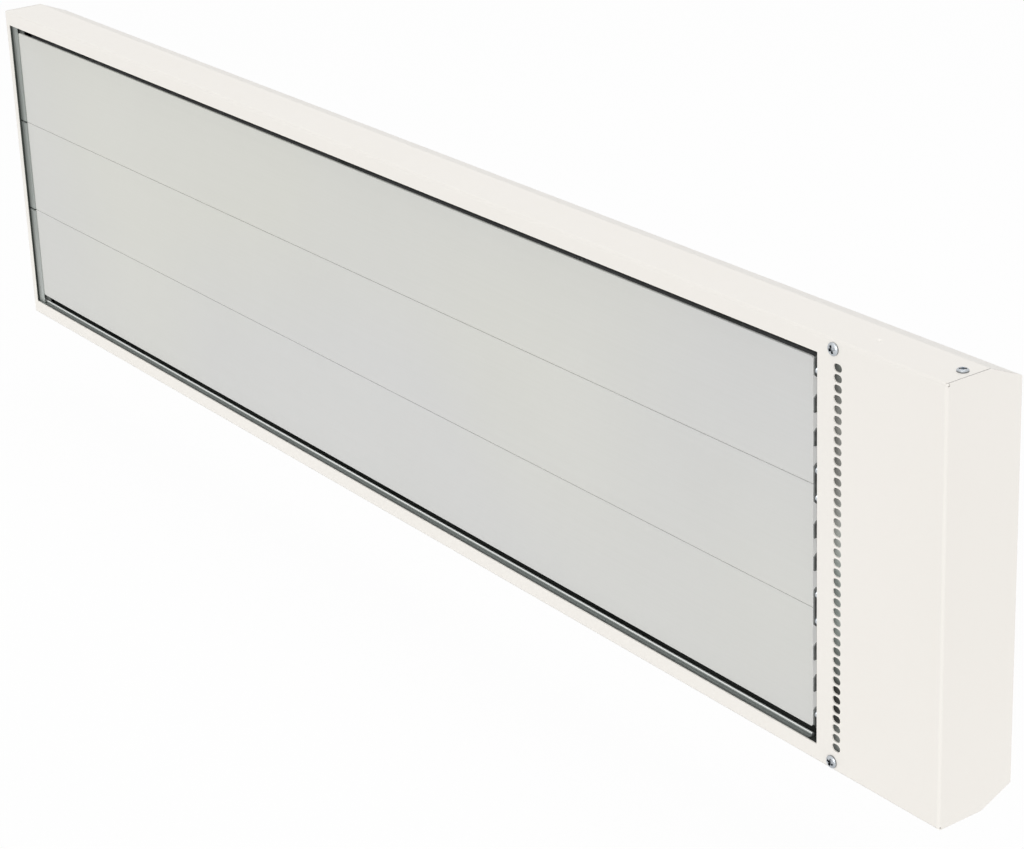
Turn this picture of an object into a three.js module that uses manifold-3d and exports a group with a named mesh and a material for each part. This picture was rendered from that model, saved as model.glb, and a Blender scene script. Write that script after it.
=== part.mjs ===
// High-temperature infrared panel heater with three aluminium lamellas in a white steel casing.
// Millimetres. +X runs along the panel to the terminal end, -Y is the radiating front, +Z is up.
// The pieces are placed from the casing's front face (y = 0); the outer group moves the whole
// part so that the origin is the centre of its bounding box.

import * as THREE from 'three';
import { mergeVertices } from 'three/addons/utils/BufferGeometryUtils.js';
import Module from 'manifold-3d';

const wasm = await Module();
wasm.setup();

// ---------------------------------------------------------------- driving dimensions

// Casing, folded from one sheet
const casingLength = 1520;
const casingHeight = 370;
const casingDepth = 78;
const casingSheet = 1.2;
const foldRadius = 2.4; // outside radius of the folds round the front face
const sideDepth = 46; // straight part of the long sides, from the front
const slopeDrop = 13.5; // how far each long side is drawn in by its rear slope
const endSeam = 0.7; // open joint between the long sides and the end plates
const cornerRelief = 0.7; // how far the long sides stay behind the end folds

// Window in the front face, measured from the casing's edges
const windowFromLeft = 8;
const windowFromRight = 138;
const windowFromLongEdge = 15.3;

// Column of vent slots in front of the terminal space
const ventPitch = 8.59;
const ventLength = 9.5;
const ventWidth = 6.8;
const ventFromWindow = 22.8; // middle of the column to the window's right edge
const ventFromLongEdge = 18; // least land between the column and the long edges

// Pressed locating dimples in the long sides
const dimpleRadius = 3;
const dimpleDepth = 0.7;
const dimpleFromEnd = 96;
const dimpleFromFront = 24.7;

// Clearances
const fit = 0.3; // between pieces that touch or are screwed together
const slideFit = 0.3; // between the sliding lamellas and what guides them
const lamellaTravel = 8; // growth of the lamellas at working heat
const growthReserve = 3.6; // room left at the window's right edge after that growth

// Back pan
const panSheet = 0.8;
const panFlangeFromFront = 18; // front edge of the flanges inside the casing's long sides

// Reflector tray, insulation and rails
const traySheet = 0.6;
const trayFromWindow = 2.3; // end wall outside the window, past its left edge
const trayPastWindow = 4.8; // end wall past the window's right edge
const trayFloorFromBack = 5.7; // air gap and sheet between the tray floor and the casing's back
const foilThickness = 0.4;
const railShelf = 1;
const railBelowWindow = 0.5;
const railHem = 2.6;
const railHemRise = 2.9;
const railHemFromFront = 6.8;
const railShortOfWindow = 13;

// Lamellas
const lamellaRecess = 6; // front of the lamellas behind the front of the casing
const lamellaCount = 3;
const lamellaGapLong = 8.5; // window edge to the stack, top and bottom
const lamellaGapLeft = 10;
const lamellaSeam = 0.5;
const lamellaPlate = 2;
const lamellaChamfer = 0.4;
const lamellaEdgeRib = 1.4;
const lamellaEdgeRibDepth = 3.4;
const lamellaEdgeInset = 1.6; // the plate's edge beyond its rib
const lamellaCorner = 2.5; // rounding at the four corners of the stack
const bossDepth = 10; // depth of the thick middle, from the lamella's front
const bossFlatHalf = 21.4;
const bossFootDepth = 5;
const bossLanding = 1; // flat between the thick middle and the screw port's block
const portHalf = 4; // square block that holds a screw port
const portDepth = 8.2;
const portFromSeam = 11.7;
const portBoreDepth = 4.7;
const ribNeckHalf = 3;
const ribNeckDepth = 3.2;
const ribHeadHalf = 7;
const ribHeadDepth = 2;
const ribsCutLeft = 15; // ribs are milled off where the lamella slides in its left clip
const pocketCutLeft = 33; // and further in round the bend of the heating element
const pocketHalf = 24;

// Heating elements
const elementRadius = 4.25;
const elementLegHalf = 14.15; // half the distance between the two legs
const elementLegBend = 12;
const elementBendFromLeft = 17; // bend of the hairpin, from the lamella's left end
const elementDipFromRight = 26; // where the legs leave their channels
const elementDipLength = 10;
const elementSheathPast = 8; // sheath beyond its insulator
const elementPinRadius = 1.8;
const elementPinLength = 14;

// Carriers behind the lamellas
const carrierFromEnd = 120; // outer carriers, from the ends of the lamellas
const carrierHalfWidth = 15;
const carrierSheet = 1.2;
const carrierFrontGap = 0.6; // behind the heating elements

// Clips that guide the left ends of the lamellas
const clipSheet = 1.2;
const clipRearReach = 21;
const clipFrontReach = 11.8;
const clipShortOfSeam = 1.1;

// Brackets, screws and plugs on the right ends of the lamellas
const bracketSheet = 1.5;
const bracketReach = 17; // past the seam or the outer edge of the stack
const bracketSetback = 0.6; // behind the front of the lamellas
const bracketCorner = 2;
const bracketScrewRadius = 1.5;
const bracketScrewLength = 12;
const bracketHeadRadius = 4;
const bracketHeadHeight = 2.2;
const plugHalf = 7.3;
const plugSheet = 1.2;
const plugChamfer = 2.6;
const plugTongueLength = 11;
const plugTongueDepth = 4.5;

// Partition with the guard behind the vents
const partitionSheet = 1.2;
const guardFromFront = 4;
const guardReach = 34;
const guardPastVents = 2;
const tabReach = 22;
const tabHeight = 12;

// Insulators of the heating elements
const insulatorWall = 2.2;
const insulatorFlange = 2.4;
const insulatorFlangeDepth = 4;

// Screws of the casing
const casingScrewRadius = 2.1;
const casingScrewLength = 9;
const frontHeadRadius = 5.5;
const frontHeadHeight = 2.2;
const frontScrewFromWindow = 18.2;
const frontScrewFromEdge = 7.5;
const frontScrewTurn = 20; // degrees that its cross recess is turned from upright
const sideHeadRadius = 4.8;
const sideHeadHeight = 1.9;
const sideScrewTurn = 45;
const sideScrewFromEnd = 11.2;
const sideScrewFromFront = 27.2;

// Terminal block on its bracket, earth stud, cable gland
const poleCount = 5;
const polePitch = 16;
const blockLength = 32;
const blockDepth = 28;
const blockFromPartition = 72;
const blockZ = -60;
const blockEdge = 2;
const blockRibHalf = 1.2;
const blockRibRise = 4;
const blockScrewRadius = 3;
const blockScrewDepth = 7;
const wireEntryRadius = 2.2;
const wireEntryDepth = 9;
const wireInEntry = 6; // of that depth, filled by the wire
const bridgeSheet = 1.2;
const bridgeRise = 8;
const bridgeFoot = 10;
const bridgePastBlock = 4;
const studRadius = 2.5;
const studBaseRadius = 6;
const studBaseSheet = 1.5;
const studLength = 18;
const studFromEnd = 100;
const studFromEdge = 48;
const studNutRadius = 4.6;
const studNutHeight = 4;
const glandRadius = 10;
const glandBoreRadius = 6.5;
const glandHexRadius = 15;
const glandHexDepth = 6;
const glandDomeRadius = 12.5;
const glandDomeDepth = 15;
const glandThreadInside = 9;
const glandNutDepth = 5;
const glandFromEnd = 60;
const glandFromEdge = 50;

// Wires inside the terminal space
const wireRadius = 1.7;
const wireBend = 6;
const crimpRadius = 3;
const crimpOverPin = 9;
const crimpOverWire = 6;
const laneFromPins = 17; // where the line wires turn down to the block
const busFromPins = 9; // where the neutral wire runs past the elements
const busBehindPins = 10;
const lugSheet = 1.2;

// Hanger brackets on the back
const hangerSheet = 2;
const hangerStandoff = 30;
const hangerWebHalf = 20;
const hangerFoot = 22;
const hangerHalfLength = 130;
const hangerFromEnd = 280;
const hangerSlotHalfLength = 10;
const hangerSlotHalfWidth = 4.5;
const hangerSlotSpacing = 200;
const hangerBoltRadius = 2.7;
const hangerBoltHead = 5.8;
const hangerBoltHeadHeight = 4;
const hangerBoltLength = 6;
const hangerBoltFromEnd = 25;

// ---------------------------------------------------------------- derived places

const halfLength = casingLength / 2;
const halfHeight = casingHeight / 2;
const endInside = halfLength - casingSheet;
const sideInside = halfHeight - casingSheet;
const rearSlope = slopeDrop / (casingDepth - sideDepth);
const slopeLean = Math.hypot(1, rearSlope);

const windowLeft = -halfLength + windowFromLeft;
const windowRight = halfLength - windowFromRight;
const windowHalf = halfHeight - windowFromLongEdge;
const ventSpan = casingHeight - 2 * ventFromLongEdge - ventWidth;
const ventCount = Math.floor(ventSpan / ventPitch) + 1;

const insideFront = casingSheet + fit;
const panFloor = casingDepth - panSheet;

const railShelfZ = windowHalf + railBelowWindow;
const trayInsideHalf = railShelfZ + railShelf + fit;
const trayHalf = trayInsideHalf + traySheet;
const trayLeft = windowLeft - trayFromWindow;
const trayRight = windowRight + trayPastWindow;
const trayFloorBack = casingDepth - trayFloorFromBack;
const trayInset = casingSheet + fit + panSheet + fit; // tray's slopes seated in the pan's

const lamellaLeft = windowLeft + lamellaGapLeft;
const lamellaRight = windowRight - growthReserve - lamellaTravel;
const stackHalf = windowHalf - lamellaGapLong;
const lamellaPitch = (2 * stackHalf) / lamellaCount;
const lamellaHalf = (lamellaPitch - lamellaSeam) / 2;
const lamellaCentres = [lamellaPitch, 0, -lamellaPitch];
const carrierPlaces = [
  lamellaLeft + carrierFromEnd,
  (lamellaLeft + lamellaRight) / 2,
  lamellaRight - carrierFromEnd,
];
const portZ = lamellaPitch / 2 - portFromSeam;
const channelHalf = elementRadius + fit;
const elementY = lamellaRecess + lamellaPlate + fit + elementRadius;
const ribNeckEnd = lamellaRecess + bossDepth + ribNeckDepth;
const ribHeadEnd = ribNeckEnd + ribHeadDepth;

const carrierFront = elementY + elementRadius + carrierFrontGap;
const carrierBack = ribHeadEnd + slideFit + 1.5 * carrierSheet + carrierSheet;
const foilFront = carrierBack + fit;
const foilBack = foilFront + foilThickness;
const elementExitY = foilFront - fit - elementRadius;

const clipFront = lamellaRecess - slideFit - clipSheet;
const clipRear = lamellaRecess + lamellaPlate + slideFit;
const bracketFront = lamellaRecess + bracketSetback;
const bracketBack = elementExitY - elementRadius - slideFit;

const partitionLeft = trayRight + fit;
const partitionRight = partitionLeft + partitionSheet;
const insulatorHalf = elementLegHalf;
const insulatorRadius = elementRadius + fit + insulatorWall;
const insulatorFlangeEnd = partitionRight + fit + insulatorFlangeDepth;
const sheathEnd = insulatorFlangeEnd + elementSheathPast;
const pinEnd = sheathEnd + elementPinLength;

const blockX = partitionRight + blockFromPartition;
const bridgeTop = panFloor - fit - bridgeRise;
const blockBack = bridgeTop - fit;
const blockFront = blockBack - blockDepth;
const blockHalf = (poleCount * polePitch) / 2;
const wireEntryY = (blockFront + blockBack) / 2;
const hangerBack = casingDepth + hangerStandoff;
const hangerPlaces = [hangerFromEnd - halfLength, halfLength - hangerFromEnd];
const stackOffsetY = (hangerBack - frontHeadHeight - fit) / 2;

// ---------------------------------------------------------------- shape helpers

const v2 = (x, y) => new THREE.Vector2(x, y);
const v3 = (x, y, z) => new THREE.Vector3(x, y, z);

// A closed geometry as a solid that can be joined and cut.
function solid(geometry) {
  const plain = new THREE.BufferGeometry();
  plain.setAttribute('position', geometry.getAttribute('position'));
  if (geometry.index) plain.setIndex(geometry.index);
  const merged = mergeVertices(plain, 1e-4);
  return new wasm.Manifold(
    new wasm.Mesh({
      numProp: 3,
      vertProperties: new Float32Array(merged.attributes.position.array),
      triVerts: new Uint32Array(merged.index.array),
    }),
  );
}

// A solid as a geometry again.
function geometryOf(body) {
  const mesh = body.getMesh();
  const geometry = new THREE.BufferGeometry();
  geometry.setAttribute('position', new THREE.BufferAttribute(mesh.vertProperties, 3));
  geometry.setIndex(new THREE.BufferAttribute(mesh.triVerts, 1));
  geometry.computeVertexNormals();
  return geometry;
}

// The two axes across each axis, in cyclic order, as a matrix that stands an extrusion on it.
const STAND = {
  x: new THREE.Matrix4().makeBasis(v3(0, 1, 0), v3(0, 0, 1), v3(1, 0, 0)),
  y: new THREE.Matrix4().makeBasis(v3(0, 0, 1), v3(1, 0, 0), v3(0, 1, 0)),
  z: new THREE.Matrix4(),
};

// An outline extruded along an axis. Its points are (y, z) for x, (z, x) for y and (x, y) for z.
function prism(axis, outline, low, high) {
  const shape = new THREE.Shape(outline);
  const options = { depth: high - low, bevelEnabled: false, steps: 1 };
  const geometry = new THREE.ExtrudeGeometry(shape, options);
  geometry.translate(0, 0, low);
  geometry.applyMatrix4(STAND[axis]);
  return solid(geometry);
}

function box(x, y, z) {
  const geometry = new THREE.BoxGeometry(x[1] - x[0], y[1] - y[0], z[1] - z[0]);
  geometry.translate((x[0] + x[1]) / 2, (y[0] + y[1]) / 2, (z[0] + z[1]) / 2);
  return solid(geometry);
}

// A turned piece: its profile gives radius and height along the axis through the origin.
function turned(axis, profile, segments) {
  const geometry = new THREE.LatheGeometry(profile, segments);
  geometry.rotateX(Math.PI / 2);
  geometry.applyMatrix4(STAND[axis]);
  return solid(geometry);
}

// A plain cylinder along an axis, about a centre given by its two cross coordinates.
function rod(axis, centre, radius, low, high, segments = 20) {
  const profile = [v2(0, low), v2(radius, low), v2(radius, high), v2(0, high)];
  return turned(axis, profile, segments).translate(crossOffset(axis, centre));
}

function crossOffset(axis, [a, b]) {
  return { x: [0, a, b], y: [b, 0, a], z: [a, b, 0] }[axis];
}

// A slot with round ends: two half circles, half a length apart, along the first cross axis.
function slotOutline(centre, halfLengthAlong, radius, steps = 6) {
  const points = [];
  for (const side of [1, -1]) {
    for (let i = 0; i <= steps; i += 1) {
      const angle = (side > 0 ? -Math.PI / 2 : Math.PI / 2) + (Math.PI * i) / steps;
      const along = centre.x + side * (halfLengthAlong - radius) + radius * Math.cos(angle);
      points.push(v2(along, centre.y + radius * Math.sin(angle)));
    }
  }
  return points;
}

// Rounds the inner corners of an open run of points, each with its own radius.
function roundCorners(points, radii, steps) {
  const run = [points[0].clone()];
  for (let i = 1; i < points.length - 1; i += 1) {
    const corner = points[i];
    const radius = Array.isArray(radii) ? radii[i - 1] : radii;
    if (!radius) {
      run.push(corner.clone());
      continue;
    }
    const back = points[i - 1].clone().sub(corner).normalize();
    const on = points[i + 1].clone().sub(corner).normalize();
    const half = back.angleTo(on) / 2;
    const reach = radius / Math.tan(half);
    const toCentre = back.clone().add(on).normalize();
    const centre = corner.clone().addScaledVector(toCentre, radius / Math.sin(half));
    const from = corner.clone().addScaledVector(back, reach).sub(centre);
    const to = corner.clone().addScaledVector(on, reach).sub(centre);
    const sweep = Math.PI - 2 * half;
    for (let s = 0; s <= steps; s += 1) {
      const angle = (sweep * s) / steps;
      const point = from.clone().multiplyScalar(Math.sin(sweep - angle) / Math.sin(sweep));
      point.addScaledVector(to, Math.sin(angle) / Math.sin(sweep));
      run.push(point.add(centre));
    }
  }
  run.push(points[points.length - 1].clone());
  return run;
}

// The same open run, moved to its right-hand side.
function offsetRight(run, distance) {
  const normals = run.slice(1).map((point, i) => {
    const way = point.clone().sub(run[i]).normalize();
    return v2(way.y, -way.x);
  });
  return run.map((point, i) => {
    const before = normals[Math.max(i - 1, 0)];
    const after = normals[Math.min(i, normals.length - 1)];
    const mitre = before.clone().add(after).normalize();
    return point.clone().addScaledVector(mitre, distance / mitre.dot(before));
  });
}

// The outline of a folded sheet whose outer face follows an open run of points.
function sheetOutline(run, thickness) {
  return [...run, ...offsetRight(run, thickness).reverse()];
}

// A run of points as a curve whose steps fall on the points themselves.
class PointRun extends THREE.Curve {
  constructor(points) {
    super();
    this.points = points;
  }

  getUtoTmapping(u) {
    return u;
  }

  getPoint(t, target = v3(0, 0, 0)) {
    const last = this.points.length - 1;
    const place = Math.min(Math.max(t, 0), 1) * last;
    const i = Math.min(Math.floor(place), last - 1);
    return target.copy(this.points[i]).lerp(this.points[i + 1], place - i);
  }
}

// A round bar or wire along a run of points.
function tube(run, radius, sides) {
  const ring = [];
  for (let i = 0; i < sides; i += 1) {
    const angle = (2 * Math.PI * i) / sides;
    ring.push(v2(radius * Math.cos(angle), radius * Math.sin(angle)));
  }
  const options = { steps: run.length - 1, bevelEnabled: false, extrudePath: new PointRun(run) };
  return solid(new THREE.ExtrudeGeometry(new THREE.Shape(ring), options));
}

// z of the casing's rear slope at a depth, moved inwards by a distance square to it.
function slopeZ(y, inset = 0) {
  return halfHeight - rearSlope * (y - sideDepth) - inset * slopeLean;
}

// The depth at which that slope has come down to a given z.
function slopeY(z, inset = 0) {
  return sideDepth + (halfHeight - inset * slopeLean - z) / rearSlope;
}

const mirrored = (points) => points.map((p) => v2(p.x, -p.y));

// Mirrors a run of (y, z) points in z and joins the two into one closed outline.
function bothSides(upper) {
  return [...upper, ...mirrored(upper).reverse()];
}

// ---------------------------------------------------------------- casing and back pan

// (y, z) run of the casing's outer face, from the upper rear edge round the front.
function casingRun() {
  const corners = [
    v2(casingDepth, -slopeZ(casingDepth)),
    v2(sideDepth, -halfHeight),
    v2(0, -halfHeight),
    v2(0, halfHeight),
    v2(sideDepth, halfHeight),
    v2(casingDepth, slopeZ(casingDepth)),
  ];
  return roundCorners(corners, [0, foldRadius, foldRadius, 0], 5);
}

// One long side without the front fold, reaching close to the end plates.
function longSide(sign) {
  const run = [
    v2(foldRadius + cornerRelief, halfHeight),
    v2(sideDepth, halfHeight),
    v2(casingDepth, slopeZ(casingDepth)),
  ];
  const outline = sheetOutline(run, casingSheet);
  const reach = endInside - endSeam;
  return prism('x', sign > 0 ? outline : mirrored(outline), -reach, reach);
}

// Closes an end: the outline of the casing's section, as one plate folded from the front.
function endPlate(sign) {
  const front = foldRadius + cornerRelief;
  const outline = bothSides([
    v2(front, halfHeight),
    v2(sideDepth, halfHeight),
    v2(casingDepth, slopeZ(casingDepth)),
  ]);
  const faces = [sign * endInside, sign * halfLength].sort((a, b) => a - b);
  return prism('x', outline, ...faces);
}

// Front face with both end folds, as far as a distance above and below the middle.
function endFolds(reach) {
  const corners = [
    v2(-halfLength, sideDepth),
    v2(-halfLength, 0),
    v2(halfLength, 0),
    v2(halfLength, sideDepth),
  ];
  const run = roundCorners(corners, foldRadius, 5).reverse();
  return prism('z', sheetOutline(run, casingSheet), -reach, reach);
}

// Front face with the folds of both long sides, as far as a distance to the left and right.
function sideFolds(reach) {
  return prism('x', sheetOutline(casingRun(), casingSheet), -reach, reach);
}

// The folds mitred into each other at the four front corners.
function foldedCorners() {
  const front = box([-halfLength, halfLength], [0, foldRadius], [-halfHeight, halfHeight]);
  return sideFolds(halfLength).intersect(endFolds(halfHeight)).intersect(front);
}

const ventX = windowRight + ventFromWindow;
const frontScrewX = windowRight + frontScrewFromWindow;
const frontScrewZ = halfHeight - frontScrewFromEdge;
const sideScrewX = halfLength - sideScrewFromEnd;
const screwHole = casingScrewRadius + fit;

function frontCasing() {
  let body = sideFolds(halfLength - foldRadius).add(endFolds(halfHeight - foldRadius));
  body = body.add(foldedCorners());
  for (const sign of [1, -1]) {
    body = body.add(longSide(sign)).add(endPlate(sign));
  }

  const through = [-casingSheet, 2 * casingSheet];
  body = body.subtract(box([windowLeft, windowRight], through, [-windowHalf, windowHalf]));
  for (let i = 0; i < ventCount; i += 1) {
    const z = (i - (ventCount - 1) / 2) * ventPitch;
    // The slot lies along x, the second of the two cross axes of y.
    const outline = slotOutline(v2(ventX, z), ventLength / 2, ventWidth / 2);
    body = body.subtract(prism('y', outline.map((p) => v2(p.y, p.x)), ...through));
  }
  for (const sign of [1, -1]) {
    const place = [sign * frontScrewZ, frontScrewX];
    body = body.subtract(rod('y', place, screwHole, ...through, 16));
    const side = [sideScrewX, sideScrewFromFront];
    const wall = [sideInside - casingSheet, halfHeight + casingSheet];
    const levels = sign > 0 ? wall : [-wall[1], -wall[0]];
    body = body.subtract(rod('z', side, screwHole, ...levels, 16));
    body = body.subtract(dimple(sign));
  }
  return body;
}

// A shallow cone that dents the outer face of a long side.
function dimple(sign) {
  const profile = [v2(0, -dimpleDepth), v2(dimpleRadius, 0), v2(dimpleRadius, 1), v2(0, 1)];
  const cone = turned('z', profile, 12).translate([
    halfLength - dimpleFromEnd,
    dimpleFromFront,
    halfHeight,
  ]);
  return sign > 0 ? cone : cone.mirror([0, 0, 1]);
}

// (y, z) run of the back pan's outer face, nested inside the casing.
function panRun() {
  const inset = casingSheet + fit;
  const side = halfHeight - inset;
  const upper = [
    v2(panFlangeFromFront, side),
    v2(slopeY(side, inset), side),
    v2(casingDepth, slopeZ(casingDepth, inset)),
  ];
  return [...upper, ...mirrored(upper).reverse()];
}

const glandX = halfLength - glandFromEnd;
const glandZ = glandFromEdge - halfHeight;
const studX = halfLength - studFromEnd;
const studZ = studFromEdge - halfHeight;

function hangerBoltPlaces(x) {
  const across = hangerWebHalf + hangerFoot / 2;
  const along = hangerHalfLength - hangerBoltFromEnd;
  return [
    { x: x - across, z: -along },
    { x: x + across, z: along },
  ];
}

function backPan() {
  const reach = endInside - fit;
  let body = prism('x', sheetOutline(panRun(), panSheet), -reach, reach);
  const wall = [panFloor - panSheet, casingDepth + panSheet];
  const glandHole = glandRadius + fit;
  body = body.subtract(rod('y', [glandZ, glandX], glandHole, ...wall, 24));
  for (const x of hangerPlaces) {
    for (const bolt of hangerBoltPlaces(x)) {
      body = body.subtract(rod('y', [bolt.z, bolt.x], hangerBoltRadius + fit, ...wall, 12));
    }
  }
  const flange = [sideInside - 2 * panSheet - fit, sideInside];
  for (const levels of [flange, [-flange[1], -flange[0]]]) {
    body = body.subtract(rod('z', [sideScrewX, sideScrewFromFront], screwHole, ...levels, 16));
  }
  return body;
}

// ---------------------------------------------------------------- hot side: tray, foil, wool, rails

// Upper half of a section that fills the tray's room, drawn in by a distance. Its wall is
// straight where the casing's slope stays outside it.
function traySection(front, back, inset) {
  const half = trayHalf - inset;
  const slopeInset = trayInset + inset;
  const bend = slopeY(half, slopeInset);
  if (bend >= back) return [v2(front, half), v2(back, half)];
  return [
    v2(front, half),
    v2(bend, half),
    v2(back, slopeZ(back, slopeInset)),
  ];
}

// The opening for one element's insulator, through the tray's end wall and the partition.
function insulatorOpening(centre, clearance, low, high) {
  const radius = insulatorRadius + clearance;
  const outline = slotOutline(v2(centre, elementExitY), insulatorHalf + radius, radius, 8);
  return prism('x', outline.map((p) => v2(p.y, p.x)), low, high);
}

function reflectorTray() {
  const upper = traySection(insideFront, trayFloorBack, 0);
  const run = [...upper, ...mirrored(upper).reverse()];
  let body = prism('x', sheetOutline(run, traySheet), trayLeft, trayRight);
  const section = bothSides(upper);
  body = body.add(prism('x', section, trayLeft, trayLeft + traySheet));
  body = body.add(prism('x', section, trayRight - traySheet, trayRight));
  for (const centre of lamellaCentres) {
    body = body.subtract(insulatorOpening(centre, fit, trayRight - 2, trayRight + 1));
  }
  return body;
}

function insulationSlab() {
  const inset = traySheet + fit;
  const back = trayFloorBack - traySheet - fit;
  const section = bothSides(traySection(foilBack + fit, back, inset));
  return prism('x', section, trayLeft + inset, trayRight - inset);
}

function foilReflector() {
  const inset = traySheet + fit;
  const half = trayHalf - inset;
  const ends = [trayLeft + inset, trayRight - inset];
  return box(ends, [foilFront, foilBack], [-half, half]);
}

// Shelf and rolled hem along a long edge of the window.
function windowRail(sign) {
  const low = railShelfZ + railShelf;
  const hemBack = railHemFromFront + railHem;
  const hemRadius = railHem / 2;
  const crown = railShelfZ - railHemRise + hemRadius;
  const outline = [v2(insideFront, railShelfZ), v2(insideFront, low), v2(hemBack, low)];
  for (let i = 0; i <= 6; i += 1) {
    const angle = (Math.PI * i) / 6;
    const middle = railHemFromFront + hemRadius;
    outline.push(v2(middle + hemRadius * Math.cos(angle), crown - hemRadius * Math.sin(angle)));
  }
  outline.push(v2(railHemFromFront, railShelfZ));
  const ends = [trayLeft + traySheet + fit, windowRight - railShortOfWindow];
  return prism('x', sign > 0 ? outline : mirrored(outline), ...ends);
}

// U-shaped cross member whose notches hold the T-ribs of the lamellas.
function lamellaCarrier(x) {
  const run = [
    v2(x - carrierHalfWidth, carrierFront),
    v2(x - carrierHalfWidth, carrierBack),
    v2(x + carrierHalfWidth, carrierBack),
    v2(x + carrierHalfWidth, carrierFront),
  ];
  const reach = trayInsideHalf - fit;
  let body = prism('z', sheetOutline(run, carrierSheet), -reach, reach);
  const across = [x - 2 * carrierHalfWidth, x + 2 * carrierHalfWidth];
  for (const centre of lamellaCentres) {
    const neck = ribNeckHalf + slideFit;
    const head = ribHeadHalf + slideFit;
    const headRoom = [ribNeckEnd - slideFit, ribHeadEnd + slideFit];
    body = body.subtract(box(across, [carrierFront - 1, ribHeadEnd], [centre - neck, centre + neck]));
    body = body.subtract(box(across, headRoom, [centre - head, centre + head]));
  }
  return body;
}

// U-shaped clip on the tray's left wall: one lamella's left end slides between its flanges.
// The outer clips run on as far as the rails, their front flanges over the rails' hems.
function leftClip(centre) {
  const wall = trayLeft + traySheet + fit;
  const reach = lamellaPitch / 2 - clipShortOfSeam;
  const levelsTo = (end) => [
    centre < 0 ? -end : centre - reach,
    centre > 0 ? end : centre + reach,
  ];
  const behind = levelsTo(railShelfZ - railHemRise - fit);
  const ahead = levelsTo(railShelfZ - fit);
  const front = [clipFront, clipFront + clipSheet];
  const rear = [clipRear, clipRear + clipSheet];
  return box([wall, wall + clipSheet], [clipFront, foilFront - fit], behind)
    .add(box([wall, wall + clipFrontReach], front, ahead))
    .add(box([wall, wall + clipRearReach], rear, behind));
}

// ---------------------------------------------------------------- lamellas and what rides on them

// Half of the extruded section, from the outer edge to the middle: (depth from front, z).
function lamellaHalfSection() {
  const web = elementLegHalf - channelHalf;
  const wall = elementLegHalf + channelHalf;
  const neckEnd = bossDepth + ribNeckDepth;
  const edgeRib = lamellaHalf - lamellaEdgeInset;
  return [
    v2(0, lamellaHalf - lamellaChamfer),
    v2(lamellaChamfer, lamellaHalf),
    v2(lamellaPlate, lamellaHalf),
    v2(lamellaPlate, edgeRib),
    v2(lamellaEdgeRibDepth, edgeRib),
    v2(lamellaEdgeRibDepth, edgeRib - lamellaEdgeRib),
    v2(lamellaPlate, edgeRib - lamellaEdgeRib),
    v2(lamellaPlate, portZ + portHalf),
    v2(portDepth, portZ + portHalf),
    v2(portDepth, portZ - portHalf),
    v2(bossFootDepth, portZ - portHalf),
    v2(bossFootDepth, portZ - portHalf - bossLanding),
    v2(bossDepth, bossFlatHalf),
    v2(bossDepth, wall),
    v2(lamellaPlate, wall),
    v2(lamellaPlate, web),
    v2(bossDepth, web),
    v2(bossDepth, ribNeckHalf),
    v2(neckEnd, ribNeckHalf),
    v2(neckEnd, ribHeadHalf),
    v2(neckEnd + ribHeadDepth, ribHeadHalf),
  ];
}

function lamella(centre) {
  const outline = bothSides(lamellaHalfSection()).map((p) => v2(p.x + lamellaRecess, p.y));
  let body = prism('x', outline, lamellaLeft, lamellaRight);
  const plateBack = lamellaRecess + lamellaPlate;
  const deep = ribHeadEnd + 1;
  const full = [-lamellaHalf - 1, lamellaHalf + 1];
  const left = lamellaLeft - 1;
  body = body.subtract(box([left, lamellaLeft + ribsCutLeft], [plateBack, deep], full));
  const pocket = [-pocketHalf, pocketHalf];
  body = body.subtract(box([left, lamellaLeft + pocketCutLeft], [plateBack, deep], pocket));
  const bore = bracketScrewRadius + fit;
  for (const sign of [1, -1]) {
    const place = [lamellaRecess + portBoreDepth, sign * portZ];
    const start = lamellaRight - bracketScrewLength - 2;
    body = body.subtract(rod('x', place, bore, start, lamellaRight + 1, 12));
  }
  body = body.translate([0, 0, centre]);
  for (const sign of [1, -1]) {
    if (Math.abs(centre + sign * lamellaPitch) < stackHalf) continue;
    body = body.subtract(stackCorner(lamellaLeft, centre + sign * lamellaHalf, 1, -sign));
    body = body.subtract(stackCorner(lamellaRight, centre + sign * lamellaHalf, -1, -sign));
  }
  return body;
}

// What the rounding takes off a corner at (x, z); the signs point into the lamella.
function stackCorner(x, z, towardsX, towardsZ) {
  const outline = [v2(z - towardsZ, x - towardsX), v2(z - towardsZ, x + towardsX * lamellaCorner)];
  const steps = 5;
  for (let i = 0; i <= steps; i += 1) {
    const angle = (Math.PI / 2) * (i / steps);
    const across = lamellaCorner * (1 - Math.sin(angle));
    const along = lamellaCorner * (1 - Math.cos(angle));
    outline.push(v2(z + towardsZ * along, x + towardsX * across));
  }
  outline.push(v2(z + towardsZ * lamellaCorner, x - towardsX));
  return prism('y', outline, lamellaRecess - 1, ribHeadEnd + 1);
}

// Plate that ties the right ends of two lamellas together, or closes the stack's outer edge.
function endBracket(low, high, screws) {
  const face = lamellaRight + fit;
  const corners = [
    v2(bracketBack, low),
    v2(bracketBack, high),
    v2(bracketFront + bracketCorner, high),
    v2(bracketFront, high - bracketCorner),
    v2(bracketFront, low + bracketCorner),
    v2(bracketFront + bracketCorner, low),
  ];
  let body = prism('x', corners, face, face + bracketSheet);
  for (const z of screws) {
    const place = [lamellaRecess + portBoreDepth, z];
    const hole = bracketScrewRadius + fit;
    body = body.subtract(rod('x', place, hole, face - 1, face + bracketSheet + 1, 12));
  }
  return body;
}

// Cross recess of a screw, cut into the top of a head that ends at the given height.
function crossRecess(top, size, depth) {
  const arm = size * 0.17;
  const low = top - depth;
  return box([-size / 2, size / 2], [-arm, arm], [low, top + 1]).add(
    box([-arm, arm], [-size / 2, size / 2], [low, top + 1]),
  );
}

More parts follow.
